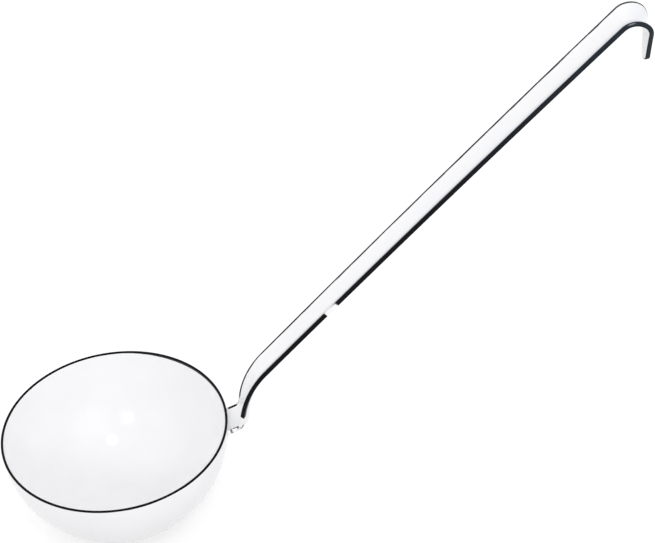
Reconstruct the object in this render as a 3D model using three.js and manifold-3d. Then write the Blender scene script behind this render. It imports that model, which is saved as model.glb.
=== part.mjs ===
import * as THREE from 'three';
import { mergeVertices } from 'three/addons/utils/BufferGeometryUtils.js';
import Module from 'manifold-3d';

const wasm = await Module();
wasm.setup();

// Enamelled steel ladle in millimetres, +Z up.
// The bowl stands on its small base flat at the origin and the handle leans away toward +X.
// Left and right are as seen from the bowl looking along the handle, so right is -Y.

const degree = Math.PI / 180;

// Bowl
const bowlRadius = 50.5; // over the enamel
const bowlSheet = 0.7; // steel
const baseRadius = 9; // flat under the bowl

// Enamel
const coat = 0.22; // white enamel on every steel face
const edging = 0.5; // enamel bead standing out from a cut edge

// Handle strip, followed along the front corner of its two long edges
const stripSheet = 1.5; // steel
const stripWidth = 13.8; // over the edging at the foot
const stripSpread = 0.95; // extra width gained by the end of the straight shank
const gutterDepth = 1.5; // hollow of the front face along the shank
const neckHollow = 3; // deepest hollow, just above the foot bend
const footHollow = 2.7; // what is left of that hollow in the foot
const footDrop = 0.8; // foot front corners below the top of the steel wall, at mid width
const footLength = 3.9;
const footRoll = 3.2 * degree; // right side of the foot sits lower, and the neck levels out
const footRise = 24 * degree;
const footBend = 3; // inner radius
const neckRise = 83 * degree;
const neckRadius = 50.3;
const handleLean = 47.5 * degree; // where the shank starts
const shankLength = 220.4;
const shankBow = 1.4 * degree; // slight arch of the shank
const hookRadius = 7.83; // over the front corners
const hookTurn = 136 * degree;
const tailLength = 10.6;
const tailStraight = 95 * degree; // hook turn at which the strip starts to narrow
const tailNarrowing = 0.45; // share of the width lost from there to the tip
const tipLength = 2.6; // rounded end of the steel
const bareNeck = 3.5; // right edge left white above the foot bend
const breakStart = 42.1; // white break in the right edging, from the start of the shank
const breakLength = 7.4;

// Foot joint
const filletLeg = 2.6;
const filletSpan = 0.86; // share of the strip width
const seat = 0.05; // clearance of the foot and fillet on the bowl wall

// Facets
const aroundSteps = 36;
const meridianSteps = 7;
const acrossSteps = 6;
const bendSteps = 4;
const neckSteps = 6;
const shankSteps = 3;
const hookSteps = 10;
const tipAngles = [20, 40, 60, 76].map((angle) => angle * degree);

const bowlWall = bowlSheet + 2 * coat;
const stripWall = stripSheet + 2 * coat;
const baseAngle = Math.asin(baseRadius / bowlRadius);
const bowlCentre = new THREE.Vector3(0, 0, bowlRadius * Math.cos(baseAngle));
const wallTop = bowlCentre.z;

const whiteEnamel = { color: 0xf3f3f7, roughness: 0.16, metalness: 0 };
const blackEnamel = { color: 0x202226, roughness: 0.22, metalness: 0 };
const bareSteel = { color: 0x84878c, roughness: 0.45, metalness: 1 };

const ladle = new THREE.Group();
ladle.name = 'ladle';

function addPiece(name, geometry, look) {
  const mesh = new THREE.Mesh(geometry, new THREE.MeshStandardMaterial(look));
  mesh.name = name;
  ladle.add(mesh);
}

// Half outline of the bowl surface that lies the given depth under the outside.
function bowlOutline(depth) {
  const radius = bowlRadius - depth;
  const baseHeight = bowlCentre.z - radius * Math.cos(baseAngle);
  const points = [new THREE.Vector2(0, baseHeight)];
  for (let step = 0; step <= meridianSteps; step += 1) {
    const angle = THREE.MathUtils.lerp(baseAngle, Math.PI / 2, step / meridianSteps);
    const height = bowlCentre.z - radius * Math.cos(angle);
    points.push(new THREE.Vector2(radius * Math.sin(angle), height));
  }
  return points;
}

function turned(points) {
  const geometry = new THREE.LatheGeometry(points, aroundSteps);
  geometry.rotateX(Math.PI / 2);
  return geometry;
}

function bowlLayer(outerDepth, innerDepth) {
  return turned([...bowlOutline(outerDepth), ...bowlOutline(innerDepth).reverse()]);
}

// Closed solid through a row of rings that run clockwise about the direction of the row.
// Side facets are split from their lowest corner along a slanted axis, so pieces that touch
// share the same split, and the end caps are split along the shorter diagonal.
const splitAxis = new THREE.Vector3(0.31, 0.17, 0.94);

function loft(rings) {
  const count = rings[0].length;
  const half = count / 2;
  const points = rings.flat();
  const index = [];
  const addFacet = (corners, first) => {
    const [a, b, c, d] = [0, 1, 2, 3].map((turn) => corners[(first + turn) % 4]);
    index.push(a, b, c, a, c, d);
  };
  const addSide = (...corners) => {
    const heights = corners.map((corner) => points[corner].dot(splitAxis));
    addFacet(corners, heights.indexOf(Math.min(...heights)));
  };
  const addCap = (...corners) => {
    const [a, b, c, d] = corners.map((corner) => points[corner]);
    addFacet(corners, a.distanceTo(c) < b.distanceTo(d) ? 0 : 1);
  };
  for (let row = 0; row < rings.length - 1; row += 1) {
    const near = row * count;
    const far = near + count;
    for (let item = 0; item < count; item += 1) {
      const next = (item + 1) % count;
      addSide(near + item, far + item, far + next, near + next);
    }
  }
  const last = (rings.length - 1) * count;
  for (let item = 0; item < half - 1; item += 1) {
    const other = count - 1 - item;
    addCap(item, item + 1, other - 1, other);
    addCap(last + other, last + other - 1, last + item + 1, last + item);
  }
  const geometry = new THREE.BufferGeometry().setFromPoints(points);
  geometry.setIndex(index);
  geometry.computeVertexNormals();
  return geometry;
}

// Stations along the handle
const stations = [];
const pen = { x: 0, z: 0, heading: footRise, length: 0 };

function markStation() {
  stations.push({ ...pen });
}

function goStraight(length) {
  pen.x += length * Math.cos(pen.heading);
  pen.z += length * Math.sin(pen.heading);
  pen.length += length;
  markStation();
}

// A positive turn bends the strip toward its front face.
function goRound(radius, turn, steps) {
  const side = Math.sign(turn) * radius;
  const centreX = pen.x - side * Math.sin(pen.heading);
  const centreZ = pen.z + side * Math.cos(pen.heading);
  for (let step = 0; step < steps; step += 1) {
    pen.heading += turn / steps;
    pen.length += Math.abs(turn / steps) * radius;
    pen.x = centreX + side * Math.sin(pen.heading);
    pen.z = centreZ - side * Math.cos(pen.heading);
    markStation();
  }
}

pen.x = bowlRadius;
pen.z = wallTop - footDrop;
markStation();
goStraight(footLength);
goRound(footBend, neckRise - footRise, bendSteps);
const neckStart = pen.length;
goRound(neckRadius, -bareNeck / neckRadius, 1);
const shortRunStart = stations.length - 1;
goRound(neckRadius, handleLean - neckRise + bareNeck / neckRadius, neckSteps);
const shankStart = pen.length;
const shankRadius = shankLength / shankBow;
goRound(shankRadius, -breakStart / shankRadius, 1);
const shortRunEnd = stations.length - 1;
goRound(shankRadius, -breakLength / shankRadius, 1);
const longRunStart = stations.length - 1;
goRound(shankRadius, -(shankLength - breakStart - breakLength) / shankRadius, shankSteps);
const hookLength = pen.length;
const tailStart = hookLength + hookRadius * tailStraight;
goRound(hookRadius, -hookTurn, hookSteps);
goStraight(tailLength);
const tipStart = pen.length;
tipAngles.forEach((angle) => goStraight(tipStart + tipLength * Math.sin(angle) - pen.length));

// Width, hollow and edge angle of the strip at each station
for (const station of stations) {
  const along = Math.min(station.length / hookLength, 1);
  const fullHalf = (stripWidth + stripSpread * along) / 2;
  const formed = THREE.MathUtils.smoothstep(station.length, footLength, neckStart);
  const eased = THREE.MathUtils.smoothstep(station.length, neckStart, shankStart);
  const deepest = THREE.MathUtils.lerp(neckHollow, gutterDepth, eased);
  const hollow = THREE.MathUtils.lerp(footHollow, deepest, formed);
  const pastTail = (station.length - tailStart) / (tipStart - tailStart);
  const narrowed = 1 - tailNarrowing * THREE.MathUtils.clamp(pastTail, 0, 1);
  const pastTip = Math.max(station.length - tipStart, 0) / tipLength;
  const tipHalf = (fullHalf - edging) * narrowed;
  const steelHalf = tipHalf * Math.sqrt(1 - pastTip ** 2);
  station.hollow = hollow;
  station.curve = (fullHalf ** 2 + hollow ** 2) / (2 * hollow);
  station.edgeAngle = Math.asin(steelHalf / station.curve);
  station.swing = Math.atan2(pastTip / tipLength, Math.sqrt(1 - pastTip ** 2) / tipHalf);
  const roll = footRoll * (1 - eased);
  station.ahead = new THREE.Vector3(Math.cos(station.heading), 0, Math.sin(station.heading));
  station.across = new THREE.Vector3(0, 1, 0).applyAxisAngle(station.ahead, roll);
  station.front = station.ahead.clone().cross(station.across);
}

// Point in the strip at an angle across the gutter and a depth under its front face
function sheetPoint(station, angle, depth) {
  const radius = station.curve + depth;
  const height = station.curve - station.hollow - radius * Math.cos(angle);
  const point = new THREE.Vector3(station.x, 0, station.z);
  point.addScaledVector(station.across, radius * Math.sin(angle));
  return point.addScaledVector(station.front, height);
}

// Slides a point of the foot along the foot onto the bowl surface of the given radius
function ontoBowl(point, radius) {
  const direction = stations[0].ahead;
  const offset = point.clone().sub(bowlCentre);
  const along = offset.dot(direction);
  const reach = Math.sqrt(along ** 2 - offset.lengthSq() + radius ** 2) - along;
  return point.clone().addScaledVector(direction, reach);
}

function footed(rings, radius) {
  const start = rings[0].map((point) => ontoBowl(point, radius));
  return [start, ...rings.slice(1)];
}

function layerRing(station, frontDepth, backDepth, sideMargin) {
  const edgeAngle = station.edgeAngle + sideMargin / station.curve;
  const face = (depth) =>
    Array.from({ length: acrossSteps + 1 }, (_, step) =>
      sheetPoint(station, edgeAngle * ((2 * step) / acrossSteps - 1), depth));
  return [...face(frontDepth), ...face(backDepth).reverse()];
}

function stripLayer(frontDepth, backDepth, footRadius) {
  const rings = stations.map((station) => layerRing(station, frontDepth, backDepth, 0));
  return loft(footed(rings, footRadius));
}

// Bead on the cut edge, side -1 right, +1 left and 0 across the end of the tip
function edgeRing(station, side) {
  const angle = side * station.edgeAngle;
  const across = station.across.clone().multiplyScalar(Math.cos(angle));
  across.addScaledVector(station.front, Math.sin(angle)).multiplyScalar(side);
  const swing = side === 0 ? Math.PI / 2 : station.swing;
  const outward = across.multiplyScalar(Math.cos(swing));
  outward.addScaledVector(station.ahead, Math.sin(swing));
  const place = (depth, share) =>
    sheetPoint(station, angle, depth).addScaledVector(outward, share * edging);
  return [
    place(0, 0.7), place(0, 0), place(coat, 0), place(stripWall - coat, 0),
    place(stripWall, 0), place(stripWall, 0.7), place(0.7 * stripWall, 1), place(0.3 * stripWall, 1),
  ];
}

function edgeRun(first, last, side) {
  return stations.slice(first, last + 1).map((station) => edgeRing(station, side));
}

function toManifold(geometry) {
  const bare = geometry.clone();
  bare.deleteAttribute('normal');
  bare.deleteAttribute('uv');
  const welded = mergeVertices(bare, 1e-5);
  const vertProperties = new Float32Array(welded.attributes.position.array);
  const triVerts = new Uint32Array(welded.index.array);
  return new wasm.Manifold(new wasm.Mesh({ numProp: 3, vertProperties, triVerts }));
}

function subtracted(geometry, cutter) {
  const result = toManifold(geometry).subtract(toManifold(cutter)).getMesh();
  const kept = new THREE.BufferGeometry();
  kept.setAttribute('position', new THREE.BufferAttribute(result.vertProperties, 3));
  kept.setIndex(new THREE.BufferAttribute(result.triVerts, 1));
  kept.computeVertexNormals();
  return kept;
}

// Bowl
addPiece('bowl_pressing', bowlLayer(coat, bowlWall - coat), bareSteel);
addPiece('bowl_inner_coat', bowlLayer(bowlWall - coat, bowlWall), whiteEnamel);

const foot = stations[0];
const weldRing = layerRing(foot, coat, stripWall - coat, 0);
const slotRing = layerRing(foot, coat - seat, stripWall - coat + seat, seat);
const slot = loft([
  slotRing.map((point) => ontoBowl(point, bowlRadius - bowlWall)),
  slotRing.map((point) => ontoBowl(point, bowlRadius + bowlWall)),
]);
addPiece('bowl_outer_coat', subtracted(bowlLayer(0, coat), slot), whiteEnamel);

const rimMiddle = bowlRadius - bowlWall / 2;
const rimOutline = [new THREE.Vector2(bowlRadius, wallTop)];
for (const angle of [20, 65, 115, 160]) {
  const reach = (bowlWall / 2) * Math.cos(angle * degree) / Math.cos(20 * degree);
  const height = edging * Math.sin(angle * degree) / Math.sin(65 * degree);
  rimOutline.push(new THREE.Vector2(rimMiddle + reach, wallTop + height));
}
rimOutline.push(new THREE.Vector2(bowlRadius - bowlWall, wallTop));
rimOutline.push(rimOutline[0].clone());
addPiece('bowl_rim_edging', turned(rimOutline), blackEnamel);

// Handle
addPiece('handle_pressing', stripLayer(coat, stripWall - coat, bowlRadius), bareSteel);
addPiece('handle_front_coat', stripLayer(0, coat, bowlRadius + seat), whiteEnamel);
addPiece('handle_back_coat', stripLayer(stripWall - coat, stripWall, bowlRadius + seat), whiteEnamel);

const end = stations.length - 1;
const longRun = [
  ...edgeRun(longRunStart, end, -1),
  edgeRing(stations[end], 0),
  ...edgeRun(0, end, 1).reverse(),
];
longRun.push(longRun.pop().map((point) => ontoBowl(point, bowlRadius + seat)));
addPiece('edging_long_run', loft(longRun), blackEnamel);
addPiece('edging_short_run', loft(edgeRun(shortRunStart, shortRunEnd, -1)), blackEnamel);
addPiece('edge_break_coat', loft(edgeRun(shortRunEnd, longRunStart, -1)), whiteEnamel);
const footEdge = footed(edgeRun(0, shortRunStart, -1), bowlRadius + seat);
addPiece('foot_edge_coat', loft(footEdge), whiteEnamel);

// Foot joint
const weld = loft([
  weldRing.map((point) => ontoBowl(point, bowlRadius - coat + seat)),
  weldRing.map((point) => ontoBowl(point, bowlRadius)),
]);
addPiece('foot_weld', weld, bareSteel);

// Enamel pooled in the corner under the foot, thinner toward its two ends
const filletRings = [];
for (let step = 0; step <= acrossSteps; step += 1) {
  const share = (2 * step) / acrossSteps - 1;
  const leg = filletLeg * (1 - 0.45 * share ** 2);
  const angle = share * filletSpan * foot.edgeAngle;
  const corner = ontoBowl(sheetPoint(foot, angle, stripWall + seat), bowlRadius + seat);
  const shelf = corner.clone().addScaledVector(foot.ahead, leg);
  const down = corner.clone().sub(bowlCentre);
  const axis = new THREE.Vector3(-down.y, down.x, 0).normalize();
  const low = down.applyAxisAngle(axis, leg / bowlRadius).add(bowlCentre);
  const waist = shelf.clone().add(low).multiplyScalar(0.32).addScaledVector(corner, 0.36);
  filletRings.push([low, waist, shelf, corner]);
}
addPiece('foot_fillet', loft(filletRings), whiteEnamel);

export default ladle;
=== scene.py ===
import math

import bmesh
import bpy
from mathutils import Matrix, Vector


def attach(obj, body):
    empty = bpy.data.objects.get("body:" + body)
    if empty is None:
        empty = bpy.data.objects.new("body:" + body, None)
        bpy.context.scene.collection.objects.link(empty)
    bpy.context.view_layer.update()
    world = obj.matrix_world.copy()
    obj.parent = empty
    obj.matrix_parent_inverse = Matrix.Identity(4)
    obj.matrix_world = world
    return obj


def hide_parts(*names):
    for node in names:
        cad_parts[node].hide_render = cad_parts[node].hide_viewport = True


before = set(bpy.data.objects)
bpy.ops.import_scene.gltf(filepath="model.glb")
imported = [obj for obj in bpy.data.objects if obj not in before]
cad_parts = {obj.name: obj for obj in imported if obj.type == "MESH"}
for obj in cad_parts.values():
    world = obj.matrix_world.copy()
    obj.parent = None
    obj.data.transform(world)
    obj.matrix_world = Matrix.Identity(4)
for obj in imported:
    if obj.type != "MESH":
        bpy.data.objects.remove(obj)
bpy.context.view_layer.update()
mm = 0.001
degree = math.pi / 180
print("frame loaded")


# small helpers

def smoothStep(value, low, high):
    share = min(max((value - low) / (high - low), 0), 1)
    return share * share * (3 - 2 * share)


def hump(value, rise, fall):
    return smoothStep(value, *rise) - smoothStep(value, *fall)


def mix(low, high, share):
    return low + (high - low) * share


def onlyThis(piece):
    if bpy.context.mode != "OBJECT":
        bpy.ops.object.mode_set(mode="OBJECT")
    bpy.ops.object.select_all(action="DESELECT")
    piece.select_set(True)
    bpy.context.view_layer.objects.active = piece


def startEdit(piece, mode="VERT"):
    onlyThis(piece)
    bpy.ops.object.mode_set(mode="EDIT")
    bpy.ops.mesh.select_mode(type=mode)


def endEdit():
    bpy.ops.object.mode_set(mode="OBJECT")


def pickVerts(piece, test):
    bpy.ops.mesh.select_all(action="DESELECT")
    cage = bmesh.from_edit_mesh(piece.data)
    for vert in cage.verts:
        vert.select = test(vert.co)
    cage.select_flush_mode()
    bmesh.update_edit_mesh(piece.data)


def pickMembers(piece, members, test):
    bpy.ops.mesh.select_all(action="DESELECT")
    cage = bmesh.from_edit_mesh(piece.data)
    cage.verts.ensure_lookup_table()
    for index in members:
        vert = cage.verts[index]
        vert.select = test(index, vert.co)
    cage.select_flush_mode()
    bmesh.update_edit_mesh(piece.data)


def pickEdges(piece, test):
    bpy.ops.mesh.select_all(action="DESELECT")
    cage = bmesh.from_edit_mesh(piece.data)
    for edge in [edge for edge in cage.edges if test(edge)]:
        edge.select_set(True)
    bmesh.update_edit_mesh(piece.data)


def cutAway(point, normal, **values):
    bpy.ops.mesh.select_all(action="SELECT")
    bpy.ops.mesh.bisect(plane_co=Vector(point) * mm, plane_no=normal, **values)


def settle(piece):
    onlyThis(piece)
    bpy.ops.object.transform_apply(location=True, rotation=True, scale=True)


def applyModifier(piece, kind, **values):
    onlyThis(piece)
    modifier = piece.modifiers.new(kind.lower(), kind)
    for key, value in values.items():
        setattr(modifier, key, value)
    bpy.ops.object.modifier_apply(modifier=modifier.name)


def giveWall(piece, thickness):
    applyModifier(piece, "SOLIDIFY", thickness=thickness * mm, offset=-1, use_even_offset=True)


def smoothFaces(piece, angle):
    onlyThis(piece)
    bpy.ops.object.shade_smooth_by_angle(angle=angle * degree)


def fixNormals(piece):
    startEdit(piece)
    bpy.ops.mesh.select_all(action="SELECT")
    bpy.ops.mesh.normals_make_consistent(inside=False)
    endEdit()


def flipFaces(piece):
    startEdit(piece)
    bpy.ops.mesh.select_all(action="SELECT")
    bpy.ops.mesh.flip_normals()
    endEdit()


def finishPiece(piece, name, look, slotName, *nodes):
    piece.name = name
    piece.data.name = name
    piece.data.materials.clear()
    piece.data.materials.append(look)
    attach(piece, "root")
    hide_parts(*nodes)


# looks: each texture is a noise scale and detail, each bump a strength and a height in mm

enamel = {
    "cloud": (45, 3),
    "smear": (160, 2),
    "wave": (110, 1),
    "waveBump": (0.25, 0.12),
    "peel": (700, 2),
    "peelBump": (0.12, 0.03),
    "patch": (260, 2),
    "groundPatch": (0.12, 0.34),
    "breakDarkPatch": (0.2, 0.5),
    # noise and strengths of the painted shade beside the edging, on the front and back coats
    "veil": (90, 2),
    "frontVeil": (0.65, 0.95),
    "backVeil": (0, 0.1),
    "blotch": (300, 2),
    "blotchSpan": (0.7, 1.15),
    "index": 1.52,
    "inkShine": 0.07,
    "white": ((0.905, 0.905, 0.913, 1), (0.93, 0.929, 0.936, 1), (0.07, 0.16)),
    "ink": (0.002, 0.0022, 0.003, 1),
    "inkSheen": (0.005, 0.0053, 0.007, 1),
    "inkGloss": (0.2, 0.34),
    "slate": (0.02, 0.027, 0.035, 1),
    # pale tone of the painted highlight on the black bead near the hook
    "highlightTone": (0.3, 0.31, 0.34, 1),
    "missed": (0.85, 0.85, 0.86, 1),
    # blue-grey of the painted shade beside the edging
    "edgeShadeTone": (0.5, 0.53, 0.6, 1),
    "ground": (0.012, 0.012, 0.014, 1),
    # dark tone of the lines along the break's corners
    "breakDarkTone": (0.02, 0.02, 0.03, 1),
}
# how the black was brushed on: lengths in mm, and spans along the handle
# from 0 at the bowl to 1 at the hook
brush = {
    "frontStart": 0.5,
    "backStart": 0.8,
    "hand": (130, 3),
    "sway": 0.15,
    "soft": 0.08,
    "rimHand": (90, 3),
    "rimSway": 0.1,
    "rimDeep": 0.68,
    "rimDeepAt": 42,
    "rimDeepSpan": (0.7, 0.95),
    "right": (2.2, 0.8),
    "rightThins": (0.35, 0.9),
    "rightNext": 0.55,
    "rightHook": 0.45,
    "leftHook": 0.75,
    "hookSpan": (0.96, 1.01),
    "column": 0.25,
    "fadeFrom": 0.4,
    # where the painted highlight shows on the black bead: fade level, mm past the hook, and depth in mm
    "highlightShows": (1.45, 2),
    "highlightRise": (1, 4),
    "highlightFall": (5, 8),
    "highlightDepth": (0.3, 0.6),
    "missedRim": (-0.1, 0.6),
    "missedBend": 0.65,
    "missedRise": (4, 5.4),
    "missedFall": (8, 11),
    "missedPull": 0.9,
}
steel = {
    "grain": (300, 4),
    "tones": ((0.3, 0.31, 0.32, 1), (0.46, 0.46, 0.47, 1)),
    "rough": (0.35, 0.5),
}
noiseSpan = (0.3, 0.7)


def startLook(name):
    look = bpy.data.materials.new(name)
    look.use_nodes = True
    nodes = look.node_tree.nodes
    shader = nodes["Principled BSDF"]
    place = nodes.new("ShaderNodeTexCoord")
    return look, nodes, look.node_tree.links, shader, place


def partsOf(look):
    nodes = look.node_tree.nodes
    place = next(node for node in nodes if node.type == "TEX_COORD")
    return nodes, look.node_tree.links, place


def addNoise(nodes, links, place, scale, detail):
    noise = nodes.new("ShaderNodeTexNoise")
    noise.inputs["Scale"].default_value = scale
    noise.inputs["Detail"].default_value = detail
    links.new(place.outputs["Object"], noise.inputs["Vector"])
    return noise.outputs["Fac"]


def addRamp(nodes, links, noise, low, high, span=noiseSpan):
    ramp = nodes.new("ShaderNodeValToRGB")
    for stop, tone, position in zip(ramp.color_ramp.elements, (low, high), span):
        stop.color = tone
        stop.position = position
    links.new(noise, ramp.inputs["Fac"])
    return ramp.outputs["Color"]


def addRange(nodes, links, value, toSpan=(0, 1), fromSpan=noiseSpan):
    span = nodes.new("ShaderNodeMapRange")
    for name, number in zip(("From Min", "From Max", "To Min", "To Max"), (*fromSpan, *toSpan)):
        span.inputs[name].default_value = number
    links.new(value, span.inputs["Value"])
    return span.outputs["Result"]


def addBump(nodes, links, noise, strength, height, under=None):
    bump = nodes.new("ShaderNodeBump")
    bump.inputs["Strength"].default_value = strength
    bump.inputs["Distance"].default_value = height * mm
    links.new(noise, bump.inputs["Height"])
    if under:
        links.new(under, bump.inputs["Normal"])
    return bump.outputs["Normal"]


def addMath(nodes, links, operation, first, second):
    step = nodes.new("ShaderNodeMath")
    step.operation = operation
    for socket, value in zip(step.inputs, (first, second)):
        if isinstance(value, (int, float)):
            socket.default_value = value
        else:
            links.new(value, socket)
    return step.outputs["Value"]


def addAttribute(nodes, name):
    value = nodes.new("ShaderNodeAttribute")
    value.attribute_name = name
    return value.outputs["Fac"]


def coverWith(look, tone, mask):
    # lays a tone over the present colour wherever the mask is one
    nodes, links = look.node_tree.nodes, look.node_tree.links
    base = nodes["Principled BSDF"].inputs["Base Color"]
    under = base.links[0].from_socket
    cover = nodes.new("ShaderNodeMix")
    cover.data_type = "RGBA"
    cover.inputs["B"].default_value = tone
    links.new(mask, cover.inputs["Factor"])
    links.new(under, cover.inputs["A"])
    links.new(cover.outputs["Result"], base)


def enamelLook(name, low, high, gloss):
    look, nodes, links, shader, place = startLook(name)
    cloud = addNoise(nodes, links, place, *enamel["cloud"])
    links.new(addRamp(nodes, links, cloud, low, high), shader.inputs["Base Color"])
    smear = addNoise(nodes, links, place, *enamel["smear"])
    links.new(addRange(nodes, links, smear, gloss), shader.inputs["Roughness"])
    wave = addNoise(nodes, links, place, *enamel["wave"])
    peel = addNoise(nodes, links, place, *enamel["peel"])
    waved = addBump(nodes, links, wave, *enamel["waveBump"])
    peeled = addBump(nodes, links, peel, *enamel["peelBump"], waved)
    links.new(peeled, shader.inputs["Normal"])
    shader.inputs["IOR"].default_value = enamel["index"]
    return look


def cornerDarkLook(name, dark, span):
    # white enamel with a dark tone laid where the corner attribute says: the ground coat showing where
    # the white is thinnest at the foot's corners, a faint painted shade under the foot, and dark lines
    # along the break's corners
    look = enamelLook(name, *enamel["white"])
    nodes, links, place = partsOf(look)
    patchy = addNoise(nodes, links, place, *enamel["patch"])
    patch = addRamp(nodes, links, patchy, (0, 0, 0, 1), (1, 1, 1, 1), span)
    corner = addAttribute(nodes, "corner")
    coverWith(look, dark, addMath(nodes, links, "MULTIPLY", corner, patch))
    return look


def edgedLook(name, start, veil):
    # white enamel with a blue-grey painted shade beside the right edge and over the hook's bend, with the
    # black edging brushed a little way over it
    look = enamelLook(name, *enamel["white"])
    nodes, links, place = partsOf(look)
    cloudy = addNoise(nodes, links, place, *enamel["veil"])
    grey = addRange(nodes, links, cloudy, veil)
    # painted shade: blue-grey over the white beside the right edge and round the hook
    edgeShade = addAttribute(nodes, "edgeShade")
    coverWith(look, enamel["edgeShadeTone"], addMath(nodes, links, "MULTIPLY", edgeShade, grey))
    hand = addNoise(nodes, links, place, *brush["hand"])
    sway = addRange(nodes, links, hand, (-brush["sway"], brush["sway"]))
    reach = addMath(nodes, links, "ADD", addAttribute(nodes, "edge"), sway)
    line = addRange(nodes, links, reach, fromSpan=(start, start + brush["soft"]))
    coverWith(look, enamel["ink"], line)
    fade = addAttribute(nodes, "fade")
    coverWith(look, enamel["slate"], addMath(nodes, links, "MULTIPLY", fade, line))
    return look


def inkLook(name):
    # black enamel, slate toward the hook, with a painted highlight streak near the hook, and pale where
    # the brush missed
    look = enamelLook(name, enamel["ink"], enamel["inkSheen"], enamel["inkGloss"])
    nodes, links, place = partsOf(look)
    blotchy = addNoise(nodes, links, place, *enamel["blotch"])
    blotch = addRange(nodes, links, blotchy, enamel["blotchSpan"])
    fade = addAttribute(nodes, "fade")
    coverWith(look, enamel["slate"], addMath(nodes, links, "MULTIPLY", fade, blotch))
    # painted highlight: a pale streak where the fade value is raised past its threshold
    coverWith(look, enamel["highlightTone"], addRange(nodes, links, fade, fromSpan=brush["highlightShows"]))
    coverWith(look, enamel["missed"], addAttribute(nodes, "missed"))
    nodes["Principled BSDF"].inputs["Specular IOR Level"].default_value = enamel["inkShine"]
    return look


def rimmedLook(name, level, radius):
    # white enamel with the black of the rim brushed over its upper border
    look = enamelLook(name, *enamel["white"])
    nodes, links, place = partsOf(look)
    split = nodes.new("ShaderNodeSeparateXYZ")
    links.new(place.outputs["Object"], split.inputs["Vector"])
    hand = addNoise(nodes, links, place, *brush["rimHand"])
    sway = addRange(nodes, links, hand, (-brush["rimSway"] * mm, brush["rimSway"] * mm))
    reach = addMath(nodes, links, "ADD", split.outputs["Z"], sway)
    # the brush went deeper on the far right
    turn = brush["rimDeepAt"] * degree
    facing = nodes.new("ShaderNodeVectorMath")
    facing.operation = "DOT_PRODUCT"
    facing.inputs[1].default_value = (math.cos(turn), math.sin(turn), 0)
    links.new(place.outputs["Object"], facing.inputs[0])
    deepSpan = [share * radius * mm for share in brush["rimDeepSpan"]]
    deeper = addRange(nodes, links, facing.outputs["Value"], (0, brush["rimDeep"] * mm), deepSpan)
    reach = addMath(nodes, links, "ADD", reach, deeper)
    line = addRange(nodes, links, reach, fromSpan=((level - brush["soft"]) * mm, level * mm))
    coverWith(look, enamel["ink"], line)
    return look


def steelLook(name):
    look, nodes, links, shader, place = startLook(name)
    grain = addNoise(nodes, links, place, *steel["grain"])
    links.new(addRamp(nodes, links, grain, *steel["tones"]), shader.inputs["Base Color"])
    links.new(addRange(nodes, links, grain, steel["rough"]), shader.inputs["Roughness"])
    shader.inputs["Metallic"].default_value = 1
    return look


whiteLook = enamelLook("whiteEnamel", *enamel["white"])
footLook = cornerDarkLook("footEnamel", enamel["ground"], enamel["groundPatch"])
breakLook = cornerDarkLook("breakEnamel", enamel["breakDarkTone"], enamel["breakDarkPatch"])
stripLook = edgedLook("stripEnamel", brush["frontStart"], enamel["frontVeil"])
backLook = edgedLook("backEnamel", brush["backStart"], enamel["backVeil"])
blackLook = inkLook("blackEnamel")
steelGrey = steelLook("bareSteel")
print("looks made")


# bowl: three nested pressed layers and the black rim line, in mm

bowl = {
    "radius": 50.5,
    "sheet": 0.7,
    "coat": 0.22,
    "base": 9,
    "baseSoft": 0.75,
    "rim": 0.5,
    "rimSoft": 0.42,
    "around": 160,
    "rings": 80,
    "merge": 0.08,
}
baseSlope = math.sqrt(bowl["radius"] ** 2 - bowl["base"] ** 2) / bowl["radius"]
rimHeight = bowl["radius"] * baseSlope
bowlWall = bowl["sheet"] + 2 * bowl["coat"]


def makeBowlLayer(name, depth, thickness, look, slotName, node):
    radius = bowl["radius"] - depth
    floorHeight = rimHeight - radius * baseSlope
    bpy.ops.mesh.primitive_uv_sphere_add(
        segments=bowl["around"], ring_count=bowl["rings"], radius=radius * mm,
        location=(0, 0, rimHeight * mm))
    piece = bpy.context.object
    settle(piece)
    startEdit(piece)
    cutAway((0, 0, rimHeight), (0, 0, 1), clear_outer=True, use_fill=False)
    cutAway((0, 0, floorHeight), (0, 0, 1), clear_inner=True, use_fill=True)
    bpy.ops.mesh.select_all(action="SELECT")
    bpy.ops.mesh.remove_doubles(threshold=bowl["merge"] * mm)
    # soften the turn onto the base flat
    flatTop = (floorHeight + 0.002) * mm
    bpy.ops.mesh.select_mode(type="EDGE")
    pickEdges(piece, lambda edge: max(v.co.z for v in edge.verts) < flatTop)
    bpy.ops.mesh.bevel(offset=bowl["baseSoft"] * mm, segments=4, profile=0.5, clamp_overlap=True)
    endEdit()
    fixNormals(piece)
    side = max(piece.data.polygons, key=lambda face: face.center.x)
    if side.normal.x < 0:
        flipFaces(piece)
    giveWall(piece, thickness)
    smoothFaces(piece, 40)
    finishPiece(piece, name, look, slotName, node)


bowlLook = rimmedLook("bowlEnamel", rimHeight, bowl["radius"])
underSteel = bowl["coat"] + bowl["sheet"]
makeBowlLayer("bowlOutside", 0, bowl["coat"], bowlLook, "white_enamel", "bowl_outer_coat")
makeBowlLayer("bowlSteel", bowl["coat"], bowl["sheet"], steelGrey, "steel", "bowl_pressing")
makeBowlLayer("bowlInside", underSteel, bowl["coat"], bowlLook, "white_enamel", "bowl_inner_coat")


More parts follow.
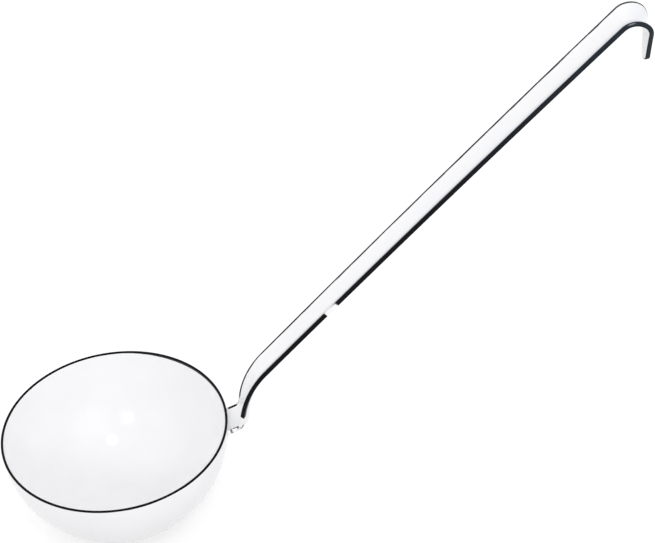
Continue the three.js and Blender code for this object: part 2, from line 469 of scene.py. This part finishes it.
def makeRim():
    inner = (bowl["radius"] - bowlWall) / bowl["radius"]
    bpy.ops.mesh.primitive_circle_add(
        vertices=bowl["around"], radius=bowl["radius"] * mm, location=(0, 0, rimHeight * mm))
    piece = bpy.context.object
    settle(piece)
    startEdit(piece)
    bpy.ops.mesh.select_all(action="SELECT")
    bpy.ops.mesh.extrude_region_move(TRANSFORM_OT_translate={"value": (0, 0, 0)})
    bpy.ops.transform.resize(value=(inner, inner, 1), center_override=(0, 0, rimHeight * mm))
    bpy.ops.mesh.select_all(action="SELECT")
    bpy.ops.mesh.extrude_region_move(TRANSFORM_OT_translate={"value": (0, 0, bowl["rim"] * mm)})
    top = (rimHeight + bowl["rim"] - 0.01) * mm
    radii = (bowl["radius"], bowl["radius"] - bowlWall)

    def isTopCorner(edge):
        first, second = [math.hypot(v.co.x, v.co.y) / mm for v in edge.verts]
        level = min(v.co.z for v in edge.verts) > top
        return level and abs(first - second) < 0.1 and min(abs(first - r) for r in radii) < 0.05

    bpy.ops.mesh.select_mode(type="EDGE")
    pickEdges(piece, isTopCorner)
    bpy.ops.mesh.bevel(offset=bowl["rimSoft"] * mm, segments=5, profile=0.5)
    endEdit()
    fixNormals(piece)
    smoothFaces(piece, 50)
    finishPiece(piece, "rimLine", blackLook, "black_enamel", "bowl_rim_edging")


makeRim()
print("bowl made")


# handle: one ribbon swept from the bowl wall to the hook's tip, then split into its layers

strip = {
    "sheet": 1.5,
    "width": 13.8,
    "spread": 0.95,
    "hollow": 1.5,
    "neckHollow": 3,
    "footHollow": 2.7,
    "drop": 0.8,
    "foot": 3.9,
    "footRise": 24,
    "footRoll": 3.2,
    "footCut": 0.75,
    "bend": 3,
    "neckRise": 83,
    "neck": 50.3,
    "lean": 47.5,
    "shank": 220.4,
    "bow": 1.4,
    "hook": 7.83,
    "hookTurn": 136,
    "tail": 10.6,
    "tailStraight": 95,
    "narrowing": 0.45,
    "tip": 2.6,
    "bare": 3.5,
    "break": 42.1,
    "breakLong": 7.4,
    "inside": 5,
    "across": 14,
    "edgeSoft": 0.4,
    "sharp": 0.6,
    "tuckOut": 0.12,
    "tuckBack": 0.05,
    "midShank": 150,
}
stepsOf = {
    "foot": 18,
    "bend": 12,
    "bare": 6,
    "neck": 24,
    "short": 12,
    "break": 4,
    "long": 30,
    "hook": 32,
    "tail": 8,
}
tipAngles = (12, 24, 36, 47, 57, 66, 74, 80)
bead = 0.5
startHalf = strip["width"] / 2 - bead
stripWall = strip["sheet"] + 2 * bowl["coat"]
rows = []
marks = {}
pen = {"x": 0, "z": 0, "heading": 0, "length": 0}


def ahead(row):
    return Vector((math.cos(row["heading"]), 0, math.sin(row["heading"])))


def front(row):
    return Vector((-math.sin(row["heading"]), 0, math.cos(row["heading"])))


def spot(row):
    return Vector((row["x"], 0, row["z"])) * mm


def goStraight(length, steps):
    for step in range(steps):
        move = ahead(pen) * length / steps
        bpy.ops.mesh.extrude_region_move(TRANSFORM_OT_translate={"value": move * mm})
        pen["x"] += move.x
        pen["z"] += move.z
        pen["length"] += length / steps
        rows.append(dict(pen))


def goRound(radius, turn, steps):
    side = math.copysign(radius, turn)
    centre = spot(pen) / mm + front(pen) * side
    bpy.ops.mesh.spin(
        steps=steps, angle=abs(turn), center=centre * mm, axis=(0, math.copysign(1, turn), 0))
    for step in range(steps):
        pen["heading"] += turn / steps
        pen["length"] += abs(turn) * radius / steps
        pen["x"] = centre.x + side * math.sin(pen["heading"])
        pen["z"] = centre.z - side * math.cos(pen["heading"])
        rows.append(dict(pen))


def sweepRibbon():
    bpy.ops.mesh.primitive_grid_add(
        x_subdivisions=1, y_subdivisions=strip["across"], size=2 * startHalf * mm)
    piece = bpy.context.object
    startEdit(piece)
    pickVerts(piece, lambda co: co.x > 0)
    bpy.ops.mesh.delete(type="VERT")
    for side in (-1, 1):
        pickVerts(piece, lambda co: co.y * side > (startHalf - 0.01) * mm)
        bpy.ops.mesh.extrude_region_move(TRANSFORM_OT_translate={"value": (0, side * bead * mm, 0)})
    # the ribbon starts inside the bowl wall
    rise = strip["footRise"] * degree
    pen["heading"] = rise
    pen["x"] = bowl["radius"] - strip["inside"] * math.cos(rise)
    pen["z"] = rimHeight - strip["drop"] - strip["inside"] * math.sin(rise)
    pen["length"] = -strip["inside"]
    bpy.ops.mesh.select_all(action="SELECT")
    bpy.ops.transform.translate(value=spot(pen) + Vector((startHalf * mm, 0, 0)))
    rows.append(dict(pen))
    goStraight(strip["inside"] + strip["foot"], stepsOf["foot"])
    goRound(strip["bend"], (strip["neckRise"] - strip["footRise"]) * degree, stepsOf["bend"])
    marks["neck"] = pen["length"]
    goRound(strip["neck"], -strip["bare"] / strip["neck"], stepsOf["bare"])
    marks["shortStart"] = len(rows) - 1
    turn = (strip["lean"] - strip["neckRise"]) * degree + strip["bare"] / strip["neck"]
    goRound(strip["neck"], turn, stepsOf["neck"])
    marks["shank"] = pen["length"]
    bowRadius = strip["shank"] / (strip["bow"] * degree)
    goRound(bowRadius, -strip["break"] / bowRadius, stepsOf["short"])
    marks["shortEnd"] = len(rows) - 1
    goRound(bowRadius, -strip["breakLong"] / bowRadius, stepsOf["break"])
    marks["longStart"] = len(rows) - 1
    rest = strip["shank"] - strip["break"] - strip["breakLong"]
    goRound(bowRadius, -rest / bowRadius, stepsOf["long"])
    marks["hook"] = pen["length"]
    goRound(strip["hook"], -strip["hookTurn"] * degree, stepsOf["hook"])
    goStraight(strip["tail"], stepsOf["tail"])
    marks["tip"] = pen["length"]
    gone = 0
    for angle in tipAngles:
        reach = strip["tip"] * math.sin(angle * degree)
        goStraight(reach - gone, 1)
        gone = reach
    marks["lastRow"] = len(rows) - 1
    goStraight(bead, 1)
    endEdit()
    return piece


def shapeRows():
    tailStart = marks["hook"] + strip["hook"] * strip["tailStraight"] * degree
    farthest = math.sin(tipAngles[-1] * degree)
    for row in rows:
        along = min(max(row["length"], 0) / marks["hook"], 1)
        full = (strip["width"] + strip["spread"] * along) / 2
        formed = smoothStep(row["length"], strip["foot"], marks["neck"])
        eased = smoothStep(row["length"], marks["neck"], marks["shank"])
        deepest = mix(strip["neckHollow"], strip["hollow"], eased)
        pastTail = (row["length"] - tailStart) / (marks["tip"] - tailStart)
        narrowed = 1 - strip["narrowing"] * min(max(pastTail, 0), 1)
        pastTip = min(max(row["length"] - marks["tip"], 0) / strip["tip"], farthest)
        tipHalf = (full - bead) * narrowed
        rounded = math.sqrt(1 - pastTip ** 2)
        row["full"] = full
        row["hollow"] = mix(strip["footHollow"], deepest, formed)
        row["roll"] = strip["footRoll"] * degree * (1 - eased)
        row["half"] = tipHalf * rounded
        row["swing"] = math.atan2(pastTip / strip["tip"], rounded / tipHalf)
        row["scale"] = row["half"] / startHalf
    rows[-1]["swing"] = math.pi / 2


def nearestRow(co):
    x, z = co.x / mm, co.z / mm
    return min(range(len(rows)), key=lambda i: (rows[i]["x"] - x) ** 2 + (rows[i]["z"] - z) ** 2)


def shapeRibbon(piece):
    startEdit(piece)
    cage = bmesh.from_edit_mesh(piece.data)
    home = [nearestRow(vert.co) for vert in cage.verts]
    outer = [abs(vert.co.y) > (startHalf + 0.1) * mm for vert in cage.verts]
    members = [[] for row in rows]
    for index, number in enumerate(home):
        members[number].append(index)
    for number, row in enumerate(rows):
        pickMembers(piece, members[number], lambda index, co: not outer[index])
        bpy.ops.transform.resize(value=(1, row["scale"], 1), center_override=spot(row))
        for side in (-1, 1):
            pickMembers(piece, members[number], lambda index, co: outer[index] and co.y * side > 0)
            wide = row["half"] + bead * math.cos(row["swing"]) - startHalf - bead
            long = bead * math.sin(row["swing"])
            if row is rows[-1]:
                # tucks the corners of the tip in
                wide = row["half"] + strip["tuckOut"] * bead - startHalf - bead
                long = -strip["tuckBack"] * bead
            move = Vector((0, side * wide, 0)) + ahead(row) * long
            bpy.ops.transform.translate(value=move * mm)
        # the foot sits a little lower on its right
        pickMembers(piece, members[number], lambda index, co: True)
        turnAxes = (ahead(row), Vector((0, 1, 0)), front(row))
        bpy.ops.transform.rotate(
            value=-row["roll"], orient_axis="X", orient_type="GLOBAL", orient_matrix=turnAxes,
            orient_matrix_type="GLOBAL", center_override=spot(row))
    endEdit()
    # the gutter
    deepest = max(row["hollow"] for row in rows)
    gutter = piece.vertex_groups.new(name="gutter")
    rim = piece.vertex_groups.new(name="outer")
    for vert in piece.data.vertices:
        row = rows[home[vert.index]]
        share = 1 - (vert.co.y / mm / row["full"]) ** 2
        gutter.add([vert.index], max(row["hollow"] * share / deepest, 0), "REPLACE")
        if outer[vert.index] or row is rows[-1]:
            rim.add([vert.index], 1, "REPLACE")
    fixNormals(piece)
    middle = strip["midShank"] * mm
    shankFace = min(piece.data.polygons, key=lambda face: abs(face.center.x - middle))
    if shankFace.normal.x > 0:
        flipFaces(piece)
    applyModifier(
        piece, "DISPLACE", strength=-deepest * mm, mid_level=0, direction="NORMAL", vertex_group="gutter")
    return home, outer


def takeFaces(piece, test):
    startEdit(piece, "FACE")
    bpy.ops.mesh.select_all(action="DESELECT")
    cage = bmesh.from_edit_mesh(piece.data)
    for face in cage.faces:
        face.select_set(test([vert.index for vert in face.verts]))
    bmesh.update_edit_mesh(piece.data)
    bpy.ops.mesh.duplicate()
    bpy.ops.mesh.separate(type="SELECTED")
    endEdit()
    made = [item for item in bpy.context.selected_objects if item != piece]
    return made[0]


def cutFoot(piece):
    startEdit(piece)
    cutAway((bowl["radius"] - strip["footCut"], 0, 0), (1, 0, 0), clear_inner=True, use_fill=True)
    endEdit()
    fixNormals(piece)


# darkened places on the white edges, ground coat and painted shade on the foot, dark lines on the break:
# start and end along the strip, first and last darkness
footWearAndShade = {
    "front": [(0.9, 1.6, 1, 1), (2.3, 4.7, 1, 1)],
    "side": [(0.9, 1.5, 1, 0.7)],
    # the faint second back entry is painted shade under the foot's back corner
    "back": [(4.8, 6.7, 1, 1), (1.2, 4.8, 0.05, 0.12)],
    "spread": 0.55,
}
# the break darkens along its front corner, most toward its end nearer the hook, and faintly along its
# back corner
breakDarkening = {
    "front": [(0, 4.6, 0.1, 0.22), (4.6, 7.4, 0.22, 1)],
    "side": [],
    "back": [(0, 7.4, 0.05, 0.1)],
    "spread": 0,
}
cornerZone = {"out": 0.15, "deep": 0.3, "border": 0.55}


def depthOf(row, co):
    return (spot(row) - co).dot(front(row)) / mm


def markCornerDark(piece):
    corner = piece.data.attributes.new("corner", "FLOAT", "POINT")
    breakLength = rows[marks["shortEnd"]]["length"]
    for vert in piece.data.vertices:
        row = rows[nearestRow(vert.co)]
        if abs(vert.co.y) / mm - row["half"] < cornerZone["out"]:
            continue
        along = row["length"]
        cornerTable = footWearAndShade
        if along > marks["shank"]:
            along -= breakLength
            cornerTable = breakDarkening
        depth = depthOf(row, vert.co) - row["full"] * math.sin(row["roll"])
        tilted = math.cos(math.atan2(2 * row["hollow"], row["full"]))
        places = [(place, 1) for place in cornerTable["side"]]
        if depth < cornerZone["deep"]:
            places += [(place, 1) for place in cornerTable["front"]]
        if depth > (stripWall - cornerZone["border"]) * tilted:
            atCorner = depth > (stripWall - cornerZone["deep"]) * tilted
            places += [(place, 1 if atCorner else cornerTable["spread"]) for place in cornerTable["back"]]
        for (start, stop, first, last), weight in places:
            if start <= along <= stop:
                dark = weight * mix(first, last, (along - start) / (stop - start))
                corner.data[vert.index].value = max(corner.data[vert.index].value, dark)


def markPaintedHighlight(piece):
    # a painted highlight streak along the middle of the right edge, where it turns into the hook
    fade = piece.data.attributes["fade"]
    shallow, deep = brush["highlightDepth"]
    for vert in piece.data.vertices:
        row = rows[nearestRow(vert.co)]
        if vert.co.y < 0 and shallow < depthOf(row, vert.co) < deep:
            past = row["length"] - marks["hook"]
            # these raised values give the painted highlight on the black
            fade.data[vert.index].value += hump(past, brush["highlightRise"], brush["highlightFall"])


def roundBead(piece):
    giveWall(piece, stripWall)
    group = piece.vertex_groups["outer"].index
    rim = {v.index for v in piece.data.vertices if any(g.group == group for g in v.groups)}
    startEdit(piece, "EDGE")
    pickEdges(piece, lambda edge: all(v.index in rim for v in edge.verts)
              and len(edge.link_faces) == 2 and edge.calc_face_angle() > strip["sharp"])
    bpy.ops.mesh.bevel(offset=strip["edgeSoft"] * mm, segments=4, profile=0.5, clamp_overlap=False)
    endEdit()
    markCornerDark(piece)
    markPaintedHighlight(piece)


ribbon = sweepRibbon()
shapeRows()
home, outer = shapeRibbon(ribbon)
print("ribbon swept", len(rows), "rows")

yOf = [vert.co.y for vert in ribbon.data.vertices]
endRow = len(rows) - 1
# painted shade on the white: how far in from the right edge it reaches in mm, its strength past the
# hook's bend, and over what length
edgeShading = {"reach": 6, "overBend": 0.35, "bendLong": 10}


def missedShare(length):
    # the left edge has no black just off the rim, and little round the foot's bend
    atRim = 1 - smoothStep(length, *brush["missedRim"])
    atBend = hump(length, brush["missedRise"], brush["missedFall"])
    return max(atRim, brush["missedBend"] * atBend)


def brushWeight(row, side):
    # the brush went further over the white on the right, hardly at all round the hook
    along = row["length"] / marks["hook"]
    atHook = smoothStep(along, *brush["hookSpan"])
    if side < 0:
        onShank = mix(*brush["right"], smoothStep(along, *brush["rightThins"]))
        return mix(onShank, brush["rightHook"], atHook)
    return mix(1 - brush["missedPull"] * missedShare(row["length"]), brush["leftHook"], atHook)


def markEdges():
    # edge: how far the black reaches over the white, the second: painted shade on the white,
    # fade: slate instead of black, missed: no black
    names = ("edge", "edgeShade", "fade", "missed")
    for name in names:
        ribbon.data.attributes.new(name, "FLOAT", "POINT")
    edge, edgeShade, fade, missed = [ribbon.data.attributes[name].data for name in names]
    for index, number in enumerate(home):
        row = rows[number]
        across = yOf[index] / mm
        along = row["length"] / marks["hook"]
        bare = number <= marks["shortStart"] or marks["shortEnd"] < number < marks["longStart"]
        painted = across > 0 or not bare
        atEnd = number >= marks["lastRow"]
        atSide = abs(abs(across) - row["half"]) < brush["column"]
        # the next column in from the right
        nextIn = abs(across + row["half"] * (1 - 2 / strip["across"])) < brush["column"]
        if nextIn and painted and not atEnd:
            edge[index].value = brush["rightNext"] * (1 - smoothStep(along, *brush["rightThins"]))
        elif (atSide and painted) or atEnd:
            edge[index].value = brushWeight(row, across)
        # painted shade: greys the white beside the right edge and over the hook's bend
        inward = max((across + row["half"]) / edgeShading["reach"], 0)
        beside = max(1 - inward, 0) ** 2 if number > marks["shortStart"] else 0
        pastHook = smoothStep(row["length"], marks["hook"], marks["hook"] + edgeShading["bendLong"])
        edgeShade[index].value = max(beside, edgeShading["overBend"] * pastHook)
        faded = (along - brush["fadeFrom"]) / (1 - brush["fadeFrom"])
        fade[index].value = min(max(faded, 0), 1) ** 2
        missed[index].value = missedShare(row["length"]) if across > 0 else 0


markEdges()


def isBead(face):
    return any(outer[i] for i in face) or any(home[i] == endRow for i in face)


def onRight(face):
    return sum(yOf[i] for i in face) < 0 and any(outer[i] for i in face)


def between(face, first, last):
    return min(home[i] for i in face) >= first and max(home[i] for i in face) <= last


def isFootEdge(face):
    return isBead(face) and onRight(face) and between(face, 0, marks["shortStart"])


def isShortRun(face):
    return isBead(face) and onRight(face) and between(face, marks["shortStart"], marks["shortEnd"])


def isBreak(face):
    return isBead(face) and onRight(face) and between(face, marks["shortEnd"], marks["longStart"])


def isLongRun(face):
    return isBead(face) and not (isFootEdge(face) or isShortRun(face) or isBreak(face))


def finishStrip(piece, name, look, slotName, node):
    cutFoot(piece)
    smoothFaces(piece, 50)
    finishPiece(piece, name, look, slotName, node)


edges = [
    ("footEdge", isFootEdge, footLook, "white_enamel", "foot_edge_coat"),
    ("edgingShort", isShortRun, blackLook, "black_enamel", "edging_short_run"),
    ("edgeBreak", isBreak, breakLook, "white_enamel", "edge_break_coat"),
    ("edgingLong", isLongRun, blackLook, "black_enamel", "edging_long_run"),
]
for name, test, look, slotName, node in edges:
    piece = takeFaces(ribbon, test)
    roundBead(piece)
    finishStrip(piece, name, look, slotName, node)

underSheet = bowl["coat"] + strip["sheet"]
layers = [
    ("handleFront", 0, bowl["coat"], stripLook, "white_enamel", "handle_front_coat"),
    ("handleSteel", bowl["coat"], strip["sheet"], steelGrey, "steel", "handle_pressing"),
    ("handleBack", underSheet, bowl["coat"], backLook, "white_enamel", "handle_back_coat"),
]
for name, depth, thickness, look, slotName, node in layers:
    piece = takeFaces(ribbon, lambda face: not isBead(face))
    if depth:
        applyModifier(piece, "DISPLACE", strength=-depth * mm, mid_level=0, direction="NORMAL")
    giveWall(piece, thickness)
    finishStrip(piece, name, look, slotName, node)
onlyThis(ribbon)
bpy.ops.object.delete()
print("handle made")


# enamel fillet under the foot

fillet = {
    "leg": 2.6,
    "taper": 0.45,
    "span": 0.86,
    "sink": 0.35,
    "wallLean": 0.12,
    "curve": 1.8,
    "steps": 14,
    "arc": 7,
}
footRow = {"heading": strip["footRise"] * degree}


def footCorner(share):
    # where the underside of the foot meets the outside of the bowl
    along, up = ahead(footRow), front(footRow)
    roll = strip["footRoll"] * degree
    across = Vector((0, math.cos(roll), 0)) + up * math.sin(roll)
    rolledUp = up * math.cos(roll) - Vector((0, math.sin(roll), 0))
    half = strip["width"] / 2
    curve = (half ** 2 + strip["footHollow"] ** 2) / (2 * strip["footHollow"])
    angle = share * math.asin((half - bead) / curve)
    reach = curve + stripWall
    point = Vector((bowl["radius"], 0, rimHeight - strip["drop"])) + across * reach * math.sin(angle)
    point += rolledUp * (curve - strip["footHollow"] - reach * math.cos(angle))
    offset = point - Vector((0, 0, rimHeight))
    back = offset.dot(along)
    return point + along * (math.sqrt(back ** 2 - offset.length_squared + bowl["radius"] ** 2) - back)


def makeFillet():
    along, up = ahead(footRow), front(footRow)
    sink = fillet["sink"]
    shares = [fillet["span"] * (2 * step / fillet["steps"] - 1) for step in range(fillet["steps"] + 1)]
    legs = [fillet["leg"] * (1 - fillet["taper"] * (share / fillet["span"]) ** 2) for share in shares]
    corners = [footCorner(share) for share in shares]
    shelf = along * legs[0]
    wall = Vector((-fillet["wallLean"], 0, -1)).normalized() * legs[0]
    outline = [shelf + up * sink, up * sink - along * sink, wall - Vector((sink, 0, 0))]
    for step in range(fillet["arc"]):
        share = step / (fillet["arc"] - 1)
        # hollow curve from the wall out to the underside
        outline.append(wall * (1 - share) ** fillet["curve"] + shelf * share ** fillet["curve"])
    bpy.ops.mesh.primitive_circle_add(vertices=len(outline), radius=mm, fill_type="NGON")
    piece = bpy.context.object
    startEdit(piece)
    cage = bmesh.from_edit_mesh(piece.data)
    for vert, place in zip(list(cage.verts), outline):
        vert.co = (corners[0] + place) * mm
    bmesh.update_edit_mesh(piece.data)
    bpy.ops.mesh.select_all(action="SELECT")
    for step in range(1, len(shares)):
        move = corners[step] - corners[step - 1]
        bpy.ops.mesh.extrude_region_move(TRANSFORM_OT_translate={"value": move * mm})
        grow = legs[step] / legs[step - 1]
        bpy.ops.transform.resize(value=(grow, 1, grow), center_override=corners[step] * mm)
    endEdit()
    fixNormals(piece)
    smoothFaces(piece, 60)
    finishPiece(piece, "footFillet", whiteLook, "white_enamel", "foot_fillet")


makeFillet()
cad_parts["foot_weld"].data.materials[0] = steelGrey
print("fillet made")


# floor, light and camera, in metres

stage = {
    "floorSize": 6,
    "floorCloud": (6, 2),
    "floorTones": ((0.6, 0.6, 0.6, 1), (0.62, 0.62, 0.62, 1)),
    "floorRough": 0.9,
    "floorShine": 0.1,
    "floorLift": 0.46,
    "softLight": 0.995,
    "softTone": (0.99, 0.99, 1, 1),
}
# name, place, aim, size and power of each lamp
lamps = [
    ("leftLamp", (-0.235, -1.1, 0.79), (0, 0.03, 0.02), (0.2, 0.18), 1.3),
    ("rightLamp", (0.215, -0.745, 1.155), (0, 0.03, 0.02), (0.2, 0.18), 1),
    ("windowBox", (0.75, -0.98, 0.66), (0, 0.02, 0.03), (0.8, 1), 1.6),
]
photoView = {
    "place": (0.09004, -0.639, 0.67047),
    "turn": (49.607, 3.783, -4.135),
    "focal": 2000,  # in picture pixels
    "wide": 655,
    "sensor": 36,
}


def addSeen(nodes, links):
    # one where the camera or a reflection looks, nothing where light only bounces
    path = nodes.new("ShaderNodeLightPath")
    return addMath(nodes, links, "MAXIMUM", path.outputs["Is Camera Ray"], path.outputs["Is Glossy Ray"])


def makeFloor():
    bpy.ops.mesh.primitive_plane_add(size=stage["floorSize"], location=(0, 0, 0))
    floor = bpy.context.object
    floor.name = "floor"
    look, nodes, links, shader, place = startLook("paleFloor")
    cloud = addNoise(nodes, links, place, *stage["floorCloud"])
    links.new(addRamp(nodes, links, cloud, *stage["floorTones"]), shader.inputs["Base Color"])
    shader.inputs["Roughness"].default_value = stage["floorRough"]
    shader.inputs["Specular IOR Level"].default_value = stage["floorShine"]
    lift = addMath(nodes, links, "MULTIPLY", addSeen(nodes, links), stage["floorLift"])
    shader.inputs["Emission Color"].default_value = (1, 1, 1, 1)
    links.new(lift, shader.inputs["Emission Strength"])
    floor.data.materials.append(look)


def makeLamp(name, spotAt, aimAt, size, power):
    bpy.ops.object.light_add(type="AREA", location=spotAt)
    lamp = bpy.context.object
    lamp.name = name
    lamp.data.shape = "RECTANGLE"
    lamp.data.size = size[0]
    lamp.data.size_y = size[1]
    lamp.data.energy = power
    lamp.rotation_euler = (Vector(aimAt) - Vector(spotAt)).to_track_quat("-Z", "Y").to_euler()


def makeWorld():
    world = bpy.data.worlds.new("studio")
    bpy.context.scene.world = world
    world.use_nodes = True
    nodes = world.node_tree.nodes
    links = world.node_tree.links
    nodes.clear()
    out = nodes.new("ShaderNodeOutputWorld")
    seen = nodes.new("ShaderNodeBackground")
    seen.inputs["Strength"].default_value = 1
    seen.inputs["Color"].default_value = (1, 1, 1, 1)
    soft = nodes.new("ShaderNodeBackground")
    soft.inputs["Strength"].default_value = stage["softLight"]
    soft.inputs["Color"].default_value = stage["softTone"]
    blend = nodes.new("ShaderNodeMixShader")
    links.new(addSeen(nodes, links), blend.inputs["Fac"])
    links.new(soft.outputs["Background"], blend.inputs[1])
    links.new(seen.outputs["Background"], blend.inputs[2])
    links.new(blend.outputs["Shader"], out.inputs["Surface"])


def makeCamera():
    bpy.ops.object.camera_add(
        location=photoView["place"], rotation=[angle * degree for angle in photoView["turn"]])
    camera = bpy.context.object
    camera.data.sensor_fit = "HORIZONTAL"
    camera.data.sensor_width = photoView["sensor"]
    camera.data.lens = photoView["focal"] * photoView["sensor"] / photoView["wide"]
    bpy.context.scene.camera = camera


makeFloor()
for lamp in lamps:
    makeLamp(*lamp)
makeWorld()
makeCamera()
bpy.context.scene.view_settings.view_transform = "Standard"
print("stage set")
